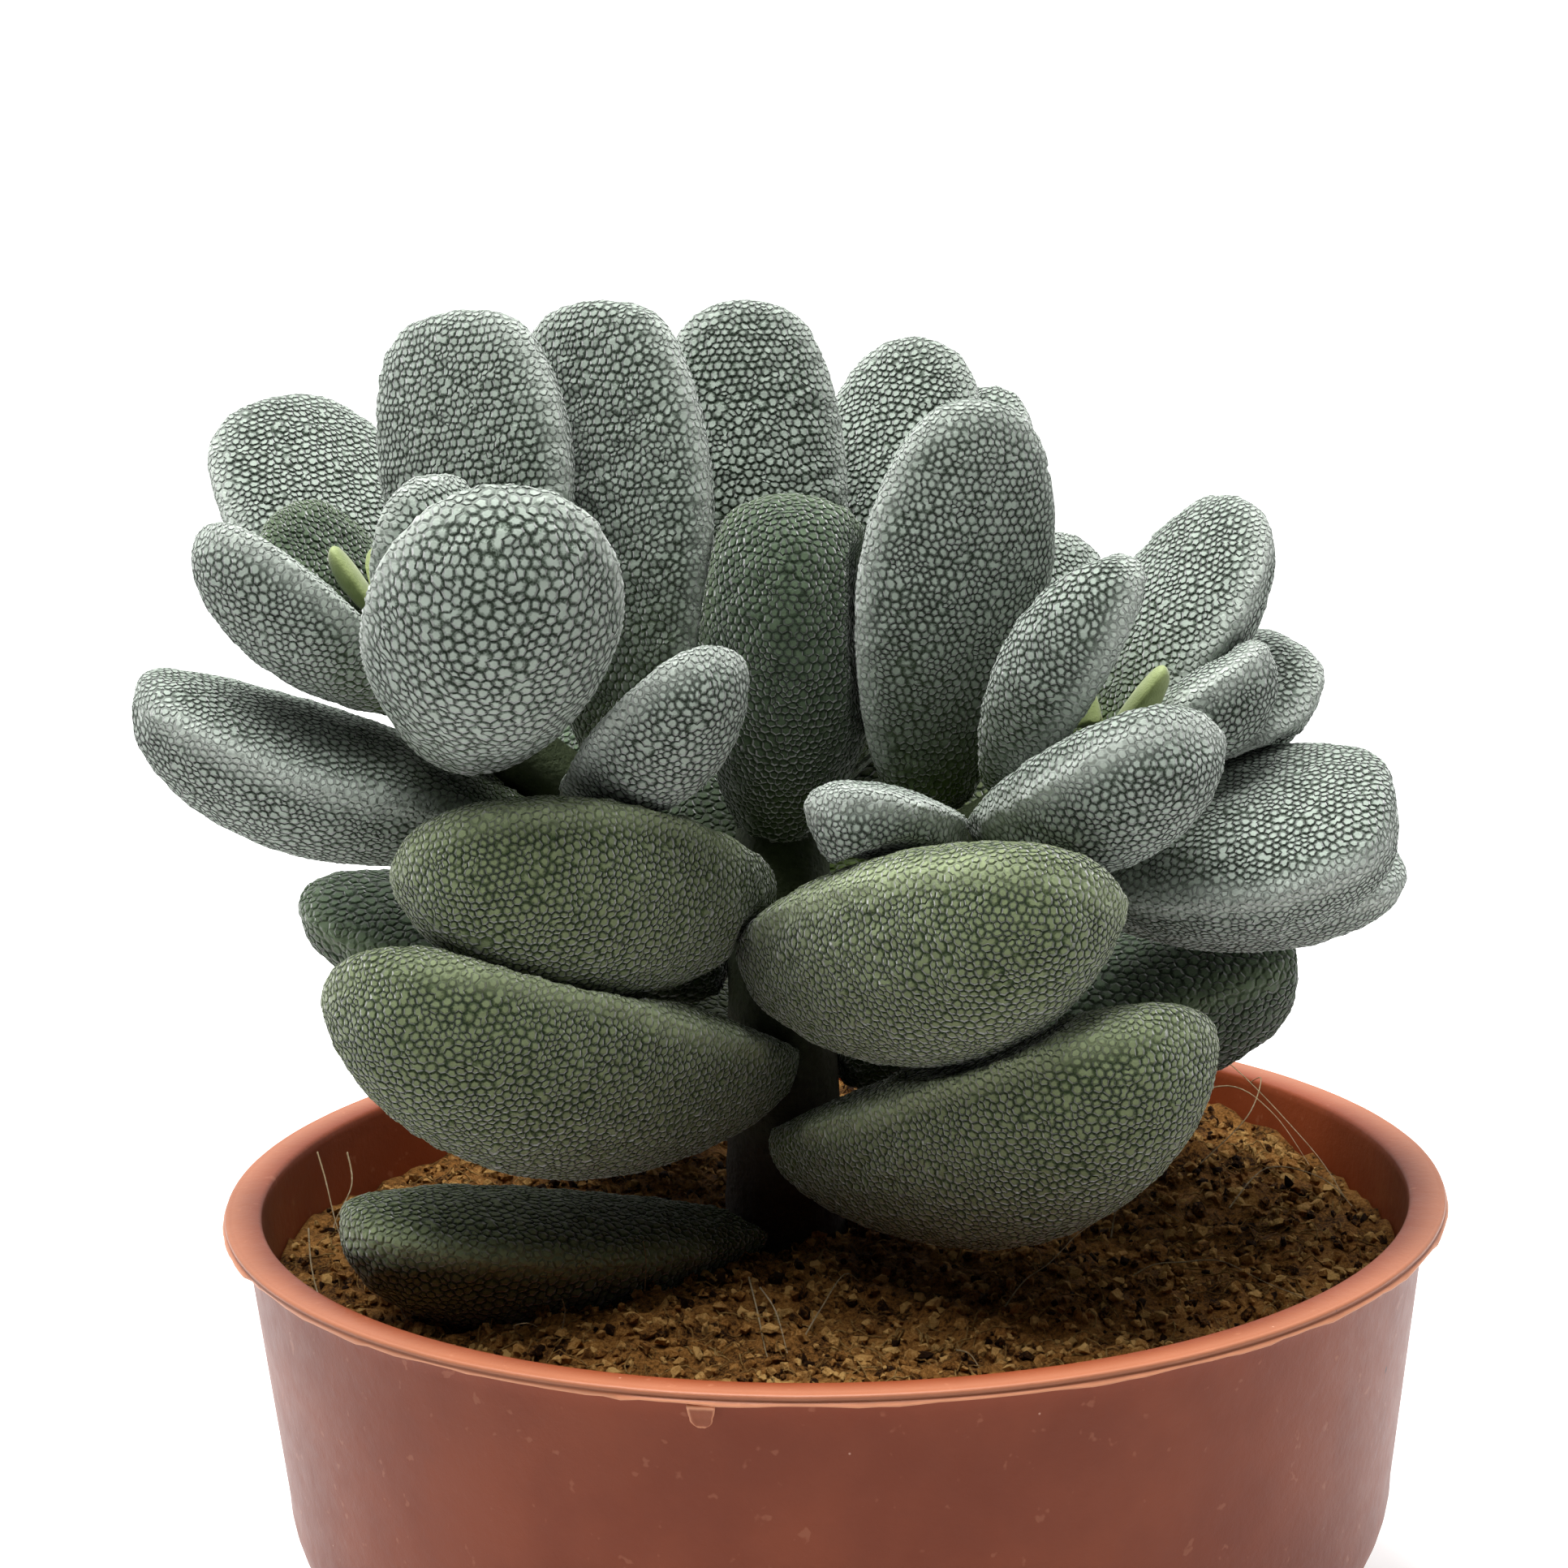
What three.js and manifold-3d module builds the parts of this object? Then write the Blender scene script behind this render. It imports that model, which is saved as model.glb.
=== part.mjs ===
// A potted succulent: plump, pebbled grey-green leaves in crossed pairs on a short stem with two side
// shoots, growing in coir in a shallow round plastic pot.
// Millimetres, +Z up. The origin is the centre of the pot's underside, and -Y is the front.
import * as THREE from "three";
import { mergeVertices } from "three/addons/utils/BufferGeometryUtils.js";
import Module from "manifold-3d";

const wasm = await Module();
wasm.setup();

// Driving dimensions
const CLEARANCE = 0.3; // gap kept where two pieces touch
const POT = {
  height: 20,
  lipRadius: 27.5,
  lipWidth: 1.0, // how far the lip stands out past the wall
  lipDepth: 0.9,
  wall: 0.8,
  floor: 1.0,
  cornerStart: 7.2, // height at which the straight wall turns into the round corner
  footRadius: 17.2,
  taper: 0.115, // how much the wall leans in for each millimetre down
  segments: 60,
};
const DRAIN = { count: 4, radius: 2.0, pitchRadius: 10.5 };
const SOIL = { top: 16.9, mound: 0.9, rings: 5, segments: 34 };
const LEAF = {
  around: 14, // facets round a leaf
  along: 9, // facets from base to tip
  upperShare: 0.27, // share of the thickness that lies above the margin
  baseShare: 0.42, // width at the base as a share of the full width
  fullFrom: 0.7, // how far along the leaf it reaches its full width
  tipRound: 0.75, // how bluntly the tip is rounded: smaller is blunter
  baseRound: 0.42,
  edge: 1.25, // how sharply the margin is drawn out: 1 is a plain ellipse
};

// Shoots: centreline points from the lower end to the growing tip, and the radius at each end.
const SHOOTS = {
  main: {
    points: [[-2.2, 0, 8], [-2.2, 0, 20], [-2.2, 0.5, 32], [-1.6, 3.5, 42]],
    radius: [3.2, 2.0],
  },
  left: {
    points: [[-5.2, -0.5, 31.5], [-9, -2, 36.5], [-14.5, -4.5, 42.5], [-18.8, -6, 48]],
    radius: [2.3, 1.0],
  },
  right: {
    points: [[0.8, -0.5, 29.5], [4, -2, 34], [8, -4, 38], [12.4, -6, 42]],
    radius: [2.3, 1.0],
  },
};

// Leaves, those that show best first. Each runs from a point in its shoot to its tip. "faces" is the
// way its flat upper side looks, and "sag" is how far its middle hangs below the line of its ends.
const LEAVES = [
  // name, from, tip, faces, width, depth, sag and, where it isn't the usual one, the tip's roundness
  // the front leaf of the left shoot and the leaves beside it
  ["left_leaf_5", [-15.6, -6, 41.4], [-12.4, -16, 54.7], [-1, 8, 6], 11.6, 7, 1],
  ["left_leaf_3", [-11, -5, 39], [-4.4, -11.5, 47], [-5, 7, 5], 7, 4.8, 0.6],
  ["left_leaf_7", [-17, -5.5, 43.5], [-26, -8, 52], [5, 6, 6], 7.4, 4.2, 0.4],
  ["left_leaf_8", [-17.6, -6.4, 46], [-16.4, -7.4, 53.9], [-4, 4, 3], 6.6, 3.2, 0.3],
  ["left_leaf_9", [-18.4, -5.2, 46.5], [-23.2, -4, 52], [5, -5, 4], 6.5, 3, 0.3],
  // the stem's own crossed pairs
  ["main_leaf_7", [-3.4, -2.5, 31.2], [10.9, -16.5, 38.2], [-3, 8, 5], 12.4, 9.6, 0.2],
  ["main_leaf_9", [-2.8, -1.5, 34], [-17.4, -13.5, 39.4], [2, 8, 5], 11.8, 8.6, 0.4],
  ["main_leaf_3", [-2.5, -2, 22.6], [15.2, -15, 31.6], [-2, 5, 9], 12.4, 9.6, 1],
  ["main_leaf_5", [-2, -1, 26], [-20.4, -14.5, 34.3], [3, 7, 7], 13, 9.4, 1],
  ["main_leaf_1", [-3, -1.5, 18.6], [-21.4, -9.5, 21.8], [1, 0.5, 9], 10.5, 6.8, 0.4],
  // the left shoot's outer leaves
  ["left_leaf_1", [-11, -3, 38.5], [-29.6, -6.5, 45], [2, -0.5, 9], 10.5, 7, 0.8],
  ["left_leaf_6", [-14.5, -3.5, 43.5], [-16, 0, 60], [-5, -7.5, 1], 10.8, 6, 0.4, 0.52],
  ["left_leaf_2", [-9, -1.2, 38.5], [-9.9, 2, 60.2], [-5, -7.5, 1], 10.8, 6.5, 0.4, 0.52],
  ["left_leaf_4", [-15, -2.5, 43], [-25.2, 8, 55.1], [4, -6, 5], 11, 6, 0.6, 0.55],
  // the right shoot
  ["right_leaf_5", [6.4, -6, 37.6], [15.5, -12.4, 43.8], [-4, 7, 5], 8.5, 6, 0.4, 0.55],
  ["right_leaf_4", [4.2, -2.5, 36.6], [7, -4, 56.2], [3, -8, 1], 9.5, 7, 0.2],
  ["right_leaf_7", [7.2, -6, 39.2], [13.3, -9.5, 50], [6, 1.5, 0.5], 5.6, 4.7, 0.3, 0.95],
  ["right_leaf_6", [10, -2.8, 40], [18.6, 2, 50.8], [-6, -4.5, 6], 9, 5.6, 0.4],
  ["right_leaf_3", [8.8, -3, 36], [24.6, -6, 38.8], [-1, -3.5, 9], 12, 7.6, 0.3, 0.6],
  ["right_leaf_9", [12, -5, 41], [19.2, -3, 45], [-6, 1, 6], 5.4, 4.4, 0.3],
  ["right_leaf_8", [10.6, -2.6, 39.6], [21.2, 3.5, 43.8], [-5, -5, 7], 9.5, 5, 0.4, 0.6],
  ["right_leaf_1", [5.8, -5.5, 37.6], [-0.1, -12.5, 40.9], [2, 5, 8], 5.6, 4.8, 0.2],
  ["right_leaf_2", [8, -1.5, 35.5], [26, 3.5, 33.8], [-1, -2, 9], 9.6, 5.6, 0.6, 0.6],
  ["right_leaf_10", [9.5, -2, 40.5], [10.9, 4, 49], [2, -8, 3], 5.5, 3.5, 0.3],
  // the crown of the stem, between the shoots
  ["crown_leaf_1", [-2.2, 1.5, 34.5], [-1.2, -1.5, 52], [0, 8, 1], 8.6, 6, 0.6, 0.55],
  ["crown_leaf_2", [-3, 2.5, 38], [-3.4, 9, 59.3], [0, -8, 3], 9.4, 6, 0.5, 0.6],
  ["crown_leaf_3", [-1, 4, 39], [5, 14, 56.7], [-3, -8, 3], 9, 6, 0.5, 0.65],
  ["crown_leaf_4", [-0.5, 4, 38], [8.5, 15, 54.2], [-4, -7, 4], 8, 5.5, 0.5],
  // behind
  ["main_leaf_6", [-1, 1, 26.3], [21.4, 6.4, 29.6], [-1, -1.6, 9], 9.6, 8.4, 0.5, 0.4],
  ["main_leaf_8", [-3, 1, 30.5], [-24.2, 4, 33], [1, -2, 9], 9.5, 6.5, 0.6],
  ["main_leaf_10", [-1.6, 2, 32.5], [12, 19, 40.5], [-1, -5, 8], 11, 7.5, 0.6],
  ["main_leaf_4", [-3, 1.5, 23.5], [-13.5, 17.5, 28.5], [2, -4, 9], 12, 8.5, 0.8],
  ["main_leaf_2", [-1.5, 1.5, 18.8], [11.5, 15.5, 21.6], [-0.5, -0.5, 9], 10.5, 6.8, 0.4],
  ["crown_leaf_5", [-2.6, 3, 33.5], [-13.5, 17.5, 40], [2, -7, 6], 11, 8, 0.6],
  ["crown_leaf_6", [-1.5, 4, 37], [2.5, 19.5, 47.5], [-1, -7, 5], 9.5, 6, 0.6],
  // the small pairs at the growing tips
  ["crown_leaf_7", [-1.7, 3, 40.5], [-2.6, 1, 46], [0, 6, 2], 3.4, 2.2, 0],
  ["left_leaf_10", [-18.6, -6, 47.3], [-20.9, -6, 50.8], [5, -1, 5], 1.7, 1.2, 0],
  ["left_leaf_11", [-19, -5.4, 47.3], [-19, -3.8, 50.4], [0, -5, 2], 1.7, 1.2, 0],
  ["right_leaf_11", [12, -6, 41.6], [14.6, -6.4, 45], [-5, -1, 5], 1.8, 1.4, 0],
  ["right_leaf_12", [11.6, -5.6, 41.2], [10.6, -4, 44.4], [1, -5, 1], 1.8, 1.4, 0],
].map(([name, from, tip, faces, width, depth, sag, tipRound = LEAF.tipRound]) => ({
  name,
  from: new THREE.Vector3(...from),
  tip: new THREE.Vector3(...tip),
  faces: new THREE.Vector3(...faces),
  width,
  depth,
  sag,
  tipRound,
}));

// A piece of closed geometry as a solid that can be cut and joined, and the way back.
function solidOf(geometry) {
  const bare = new THREE.BufferGeometry()
    .setAttribute("position", geometry.getAttribute("position"))
    .setIndex(geometry.index);
  const merged = mergeVertices(bare, 1e-4);
  return new wasm.Manifold(
    new wasm.Mesh({
      numProp: 3,
      vertProperties: new Float32Array(merged.getAttribute("position").array),
      triVerts: new Uint32Array(merged.index.array),
    }),
  );
}

function geometryOf(solid) {
  const mesh = solid.getMesh();
  return new THREE.BufferGeometry()
    .setAttribute("position", new THREE.BufferAttribute(Float32Array.from(mesh.vertProperties), 3))
    .setIndex(new THREE.BufferAttribute(Uint32Array.from(mesh.triVerts), 1));
}

// The pot: a turned wall with a lip, a round lower corner and a flat floor with drain holes.
function potProfile(grow = 0) {
  const wallTop = POT.lipRadius - POT.lipWidth;
  const wallFoot = wallTop - POT.taper * (POT.height - POT.cornerStart);
  const outer = [[0, 0], [POT.footRadius, 0]];
  const inner = [];
  const steps = 5;
  for (let i = 1; i <= steps; i++) {
    const turn = (i / steps) * (Math.PI / 2);
    outer.push([
      POT.footRadius + (wallFoot - POT.footRadius) * Math.sin(turn),
      POT.cornerStart * (1 - Math.cos(turn)),
    ]);
  }
  outer.push([wallTop, POT.height - POT.lipDepth]);
  outer.push([POT.lipRadius, POT.height - POT.lipDepth]);
  outer.push([POT.lipRadius, POT.height]);
  inner.push([wallTop - POT.wall - grow, POT.height]);
  for (let i = steps; i >= 0; i--) {
    const turn = (i / steps) * (Math.PI / 2);
    inner.push([
      POT.footRadius + (wallFoot - POT.wall - grow - POT.footRadius) * Math.sin(turn),
      POT.cornerStart - (POT.cornerStart - POT.floor - grow) * Math.cos(turn),
    ]);
  }
  inner.push([0, POT.floor + grow]);
  return { outer, inner };
}

const turned = (profile, segments) =>
  new THREE.LatheGeometry(profile.map(([r, z]) => new THREE.Vector2(r, z)), segments).rotateX(Math.PI / 2);

function pot() {
  const { outer, inner } = potProfile();
  let body = solidOf(turned([...outer, ...inner], POT.segments));
  for (let i = 0; i < DRAIN.count; i++) {
    const turn = ((i + 0.5) / DRAIN.count) * 2 * Math.PI;
    const drill = new THREE.CylinderGeometry(DRAIN.radius, DRAIN.radius, 4 * POT.floor, 16)
      .rotateX(Math.PI / 2)
      .translate(DRAIN.pitchRadius * Math.cos(turn), DRAIN.pitchRadius * Math.sin(turn), 0);
    body = body.subtract(solidOf(drill));
  }
  return body;
}

// The coir: it fills the pot's inside, and its top is a low uneven mound.
function soilHeight(x, y) {
  const away = Math.hypot(x, y) / POT.lipRadius;
  const rough = Math.sin(x * 0.31 + 1.2) * Math.cos(y * 0.27) + 0.5 * Math.sin(x * 0.63 - y * 0.55);
  return SOIL.top + SOIL.mound * (1 - 1.6 * away * away) + 0.45 * rough;
}

function soil() {
  const { inner } = potProfile(CLEARANCE);
  const below = inner.filter(([, z]) => z < SOIL.top - 2).reverse();
  const rimRadius = POT.lipRadius - POT.lipWidth - POT.wall - CLEARANCE;
  const edge = rimRadius - POT.taper * (POT.height - SOIL.top);
  const top = [];
  for (let i = 0; i <= SOIL.rings; i++) top.push([edge * (1 - i / SOIL.rings), SOIL.top]);
  const geometry = turned([...below, ...top], SOIL.segments);
  const places = geometry.getAttribute("position");
  for (let i = 0; i < places.count; i++) {
    if (Math.abs(places.getZ(i) - SOIL.top) > 1e-3) continue;
    places.setZ(i, soilHeight(places.getX(i), places.getY(i)));
  }
  return geometry;
}

// A shoot: a tapering round stem along its centreline, with closed ends.
const shootLine = (name) =>
  new THREE.CatmullRomCurve3(SHOOTS[name].points.map((p) => new THREE.Vector3(...p)));

function shoot(name, grow = 0) {
  const line = shootLine(name);
  const [low, high] = SHOOTS[name].radius;
  const steps = 8;
  const geometry = new THREE.SphereGeometry(1, 12, steps);
  const places = geometry.getAttribute("position");
  const frames = line.computeFrenetFrames(60);
  for (let i = 0; i < places.count; i++) {
    const along = (places.getY(i) + 1) / 2;
    const spread = Math.hypot(places.getX(i), places.getZ(i));
    const k = Math.round(along * 60);
    const radius = (low + (high - low) * along + grow) * Math.min(1, spread * 1.6);
    const turn = Math.atan2(places.getZ(i), places.getX(i));
    const centre = line.getPointAt(along);
    centre.addScaledVector(frames.normals[k], radius * Math.cos(turn));
    centre.addScaledVector(frames.binormals[k], -radius * Math.sin(turn));
    centre.addScaledVector(frames.tangents[k], grow * (2 * along - 1));
    places.setXYZ(i, centre.x, centre.y, centre.z);
  }
  return geometry;
}

// A leaf in its own frame: +X from base to tip, +Z out of the flat upper side. It is a sphere pressed
// into shape: nearly flat above the margin, deep and round below it, and narrow at the base.
function leafGeometry(leaf, length, grow = 0) {
  const small = leaf.width < 4;
  const geometry = new THREE.SphereGeometry(1, small ? 8 : LEAF.around, small ? 5 : LEAF.along);
  const places = geometry.getAttribute("position");
  const halfWidth = leaf.width / 2 + grow;
  const above = leaf.depth * LEAF.upperShare + grow;
  const below = leaf.depth * (1 - LEAF.upperShare) + grow;
  for (let i = 0; i < places.count; i++) {
    const along = (1 - places.getY(i)) / 2;
    const spread = Math.hypot(places.getX(i), places.getZ(i));
    const turn = Math.atan2(places.getZ(i), places.getX(i));
    const unfilled = Math.max(0, 1 - along / LEAF.fullFrom);
    const narrowing = 1 - (1 - LEAF.baseShare) * unfilled ** 2;
    const size = spread ** (along > 0.5 ? leaf.tipRound : LEAF.baseRound) * narrowing;
    const side = halfWidth * size * Math.cos(turn);
    const rise = Math.sign(turn) * Math.abs(Math.sin(turn)) ** LEAF.edge;
    const lift = (turn > 0 ? above : below) * size * rise;
    const hang = leaf.sag * 4 * along * (1 - along);
    places.setXYZ(i, along * (length + 2 * grow) - grow, side, lift - hang);
  }
  return geometry;
}

function leafFrame(leaf) {
  const along = leaf.tip.clone().sub(leaf.from).normalize();
  const up = leaf.faces.clone().addScaledVector(along, -leaf.faces.dot(along)).normalize();
  const across = new THREE.Vector3().crossVectors(up, along);
  const frame = new THREE.Matrix4().makeBasis(along, across, up).setPosition(leaf.from);
  return { frame, length: leaf.tip.distanceTo(leaf.from) };
}

// Materials
const pebbled = new THREE.MeshStandardMaterial({ color: 0x8fa396, roughness: 0.8, metalness: 0 });
const fresh = new THREE.MeshStandardMaterial({ color: 0x8fae62, roughness: 0.6, metalness: 0 });
const stalk = new THREE.MeshStandardMaterial({ color: 0x6d7f4c, roughness: 0.8, metalness: 0 });
const terracotta = new THREE.MeshStandardMaterial({ color: 0x99583d, roughness: 0.45, metalness: 0 });
const coir = new THREE.MeshStandardMaterial({ color: 0x6b4520, roughness: 1, metalness: 0 });

// Assembly. Each leaf gives way to the shoots and to the leaves before it, so that none overlap.
const plant = new THREE.Group();

function add(name, geometry, material, frame = new THREE.Matrix4()) {
  const mesh = new THREE.Mesh(geometry, material);
  mesh.name = name;
  frame.decompose(mesh.position, mesh.quaternion, mesh.scale);
  plant.add(mesh);
}

const boxOf = (geometry) => new THREE.Box3().setFromBufferAttribute(geometry.getAttribute("position"));
const taken = []; // envelopes of what is already placed: { box, solid }

function cutByTaken(geometry) {
  const box = boxOf(geometry);
  let solid = solidOf(geometry);
  for (const other of taken) {
    if (box.intersectsBox(other.box)) solid = solid.subtract(other.solid);
  }
  return solid.decompose().reduce((a, b) => (a.volume() > b.volume() ? a : b));
}

function take(geometry) {
  taken.push({ box: boxOf(geometry), solid: solidOf(geometry) });
}

for (const name of Object.keys(SHOOTS)) {
  add(`${name}_stem`, geometryOf(cutByTaken(shoot(name))), stalk);
  take(shoot(name, CLEARANCE));
}
for (const leaf of LEAVES) {
  const { frame, length } = leafFrame(leaf);
  const solid = cutByTaken(leafGeometry(leaf, length).applyMatrix4(frame));
  const local = geometryOf(solid).applyMatrix4(frame.clone().invert());
  add(leaf.name, local, leaf.width < 4 ? fresh : pebbled, frame);
  take(leafGeometry(leaf, length, CLEARANCE).applyMatrix4(frame));
}

add("pot", geometryOf(pot()), terracotta);
add("soil", geometryOf(cutByTaken(soil())), coir);

export default plant;
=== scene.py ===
import random
from math import atan2, cos, exp, hypot, pi, radians, sin

import bmesh
import bpy
from mathutils import Matrix, Vector, noise
from mathutils.bvhtree import BVHTree
from mathutils.kdtree import KDTree


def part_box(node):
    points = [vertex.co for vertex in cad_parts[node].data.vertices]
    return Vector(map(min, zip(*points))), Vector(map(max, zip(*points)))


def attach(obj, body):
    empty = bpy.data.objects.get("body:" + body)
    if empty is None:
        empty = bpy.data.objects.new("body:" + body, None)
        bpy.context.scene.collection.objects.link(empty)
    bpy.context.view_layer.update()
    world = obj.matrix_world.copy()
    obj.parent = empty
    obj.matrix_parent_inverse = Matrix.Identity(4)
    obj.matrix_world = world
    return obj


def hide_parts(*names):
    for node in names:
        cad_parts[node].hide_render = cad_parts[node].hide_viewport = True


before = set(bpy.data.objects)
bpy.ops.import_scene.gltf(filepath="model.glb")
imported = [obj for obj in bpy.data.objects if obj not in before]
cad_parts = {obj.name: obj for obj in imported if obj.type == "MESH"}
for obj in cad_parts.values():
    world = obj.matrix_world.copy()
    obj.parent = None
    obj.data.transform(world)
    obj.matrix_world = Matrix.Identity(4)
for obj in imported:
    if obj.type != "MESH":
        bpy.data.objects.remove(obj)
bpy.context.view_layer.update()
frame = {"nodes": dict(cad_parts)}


# The pot: one thin moulded shell of terracotta-coloured plastic. Its lip is a narrow flange with a fine
# groove, and the mould left ragged flash along the flange's lower edge and a small tab at the front.
nodes = frame["nodes"]
MM = 0.001


class Wire:
    """A shader value that is worked on as a number."""

    def __init__(self, nodes, socket):
        self.nodes = nodes
        self.socket = socket

    def math(self, operation, other, swap=False):
        first, second = (other, self) if swap else (self, other)
        return self.nodes.node("ShaderNodeMath", {"operation": operation}, {0: first, 1: second})

    def __add__(self, other):
        return self.math("ADD", other)

    def __sub__(self, other):
        return self.math("SUBTRACT", other)

    def __mul__(self, other):
        return self.math("MULTIPLY", other)

    def __rsub__(self, other):
        return self.math("SUBTRACT", other, swap=True)

    __radd__ = __add__
    __rmul__ = __mul__


class Nodes:
    """A node tree whose nodes are added by calls."""

    def __init__(self, tree):
        self.tree = tree

    def node(self, kind, settings=None, inputs=None, out=0):
        made = self.tree.nodes.new(kind)
        for name, value in (settings or {}).items():
            if name == "stops":
                ramp = made.color_ramp
                while len(ramp.elements) < len(value):
                    ramp.elements.new(0.5)
                for stop, (place, shade) in zip(ramp.elements, value):
                    stop.position = place
                    stop.color = (*shade, 1)
            else:
                setattr(made, name, value)
        for name, value in (inputs or {}).items():
            if isinstance(value, Wire):
                self.tree.links.new(value.socket, made.inputs[name])
            else:
                made.inputs[name].default_value = value
        return Wire(self, made.outputs[out])

    def step(self, value, low, high):
        """0 at low and 1 at high, smooth between, whichever of the two is larger."""
        if low > high:
            return 1 - self.step(value, high, low)
        settings = {"interpolation_type": "SMOOTHSTEP"}
        return self.node("ShaderNodeMapRange", settings, {"Value": value, "From Min": low, "From Max": high})


class Shader(Nodes):
    """A material with one Principled surface."""

    def __init__(self, name):
        self.material = bpy.data.materials.new(name)
        self.material.use_nodes = True
        super().__init__(self.material.node_tree)
        self.surface = self.tree.nodes["Principled BSDF"]

    def place(self, scale=1000.0):
        """Object coordinates, in millimetres unless another scale is given."""
        spot = self.node("ShaderNodeTexCoord", out="Object")
        return self.node("ShaderNodeVectorMath", {"operation": "SCALE"}, {0: spot, "Scale": scale})

    def away(self, spot, point):
        """The distance from a point, in the units of spot."""
        return self.node("ShaderNodeVectorMath", {"operation": "DISTANCE"}, {0: spot, 1: point}, out="Value")

    def noise(self, spot, scale, detail=3.0, roughness=0.55):
        inputs = {"Vector": spot, "Scale": scale, "Detail": detail, "Roughness": roughness}
        return self.node("ShaderNodeTexNoise", inputs=inputs)

    def ramp(self, value, *stops):
        return self.node("ShaderNodeValToRGB", {"stops": stops}, {"Fac": value})

    def blend(self, share, first, second):
        """A colour between two colours."""
        first, second = (c if isinstance(c, Wire) else (*c, 1) for c in (first, second))
        settings = {"data_type": "RGBA"}
        return self.node("ShaderNodeMix", settings, {"Factor": share, "A": first, "B": second}, out="Result")

    def attribute(self, name):
        return self.node("ShaderNodeAttribute", {"attribute_name": name}, out="Fac")

    def finish(self, color, roughness, bump=None, bump_height=0.0001, **constants):
        for name, value in {"Base Color": color, "Roughness": roughness}.items():
            if isinstance(value, Wire):
                self.tree.links.new(value.socket, self.surface.inputs[name])
            else:
                self.surface.inputs[name].default_value = value if name == "Roughness" else (*value, 1)
        for name, value in constants.items():
            self.surface.inputs[name.replace("_", " ")].default_value = value
        if bump:
            inputs = {"Height": bump, "Distance": bump_height}
            normal = self.node("ShaderNodeBump", inputs=inputs, out="Normal")
            self.tree.links.new(normal.socket, self.surface.inputs["Normal"])
        return self.material


def add_piece(name, bm, material, smooth=True):
    """Makes a bmesh an object."""
    mesh = bpy.data.meshes.new(name)
    for face in bm.faces:
        face.smooth = smooth
    bm.to_mesh(mesh)
    bm.free()
    mesh.materials.append(material)
    piece = bpy.data.objects.new(name, mesh)
    bpy.context.scene.collection.objects.link(piece)
    return piece


def settle(piece, slot, *replaced):
    """Attaches a finished piece to the root body and hides the CAD parts it replaces."""
    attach(piece, "root")
    if replaced:
        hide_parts(*replaced)


SCRATCHES = (((-20.13, -17.9, 9.62), 0.3), ((23.32, -10.5, 14.38), 0.22), ((23.6, -10.6, 14.56), 0.22))


def terracotta_plastic():
    s = Shader("terracotta plastic")
    spot = s.place()
    thin = s.attribute("thin")
    cloud = s.noise(spot, 0.16, 4, 0.5)
    body = s.blend(s.step(cloud, 0.3, 0.7), (0.2, 0.035, 0.008), (0.25, 0.05, 0.014))
    body = s.blend(s.step(s.noise(spot, 1.3, 2), 0.66, 0.74) * 0.25, body, (0.5, 0.2, 0.11))
    # Paler on the flash, the flange top and the tab's edges: painted highlight where these thin edges catch
    # the light.
    body = s.blend(thin, body, (0.8, 0.36, 0.2))
    for centre, size in SCRATCHES:
        body = s.blend(s.step(s.away(spot, centre), size, size * 0.4) * 0.75, body, (0.07, 0.015, 0.01))
    grit = s.node("ShaderNodeTexVoronoi", inputs={"Vector": spot, "Scale": 0.42}, out="Distance")
    chosen = s.step(s.noise(spot, 0.55, 0), 0.62, 0.66)
    body = s.blend(s.step(grit, 0.03, 0.015) * chosen * 0.7, body, (0.1, 0.025, 0.015))
    body = s.blend(s.step(grit, 0.028, 0.012) * (1 - chosen) * 0.6, body, (0.75, 0.45, 0.33))
    rough = 0.36 + 0.16 * s.noise(spot, 0.9, 3)
    grain = s.noise(spot, 2.2, 3) + 0.3 * s.noise(spot, 14, 2)
    return s.finish(body, rough, bump=grain, bump_height=0.00002, Specular_IOR_Level=0.3)


pot_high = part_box("pot")[1]
RIM = pot_high.x / MM
HEIGHT = pot_high.z / MM
FOOT = 17.2
WALL = 0.8
FLOOR = 1.0
FLANGE = 1.0
CORNER = 7.2
TAPER = 0.115
CORNER_STEPS = 14
POT_STEPS = 216
TORN_FROM, TORN_TO = -2.75, -1.9
TORN_DEPTH = 0.16

wall_top = RIM - FLANGE
wall_foot = wall_top - TAPER * (HEIGHT - CORNER)


def corner(foot, reach, rise, floor):
    """The quarter curve from the flat bottom up to the straight wall."""
    turns = [pi / 2 * i / CORNER_STEPS for i in range(CORNER_STEPS + 1)]
    return [(foot + reach * sin(t), floor + rise * (1 - cos(t))) for t in turns]


def turned(outline, steps):
    """A closed body turned about the pot's axis from points of (radius, height), from axis to axis."""
    bm = bmesh.new()
    points = [bm.verts.new((r * MM, 0, z * MM)) for r, z in outline]
    for first, second in zip(points, points[1:]):
        bm.edges.new((first, second))
    bmesh.ops.spin(
        bm, geom=bm.verts[:] + bm.edges[:], cent=(0, 0, 0), axis=(0, 0, 1), angle=2 * pi, steps=steps,
        use_merge=True,
    )
    bmesh.ops.remove_doubles(bm, verts=bm.verts, dist=0.001 * MM)
    bmesh.ops.recalc_face_normals(bm, faces=bm.faces)
    return bm


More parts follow.
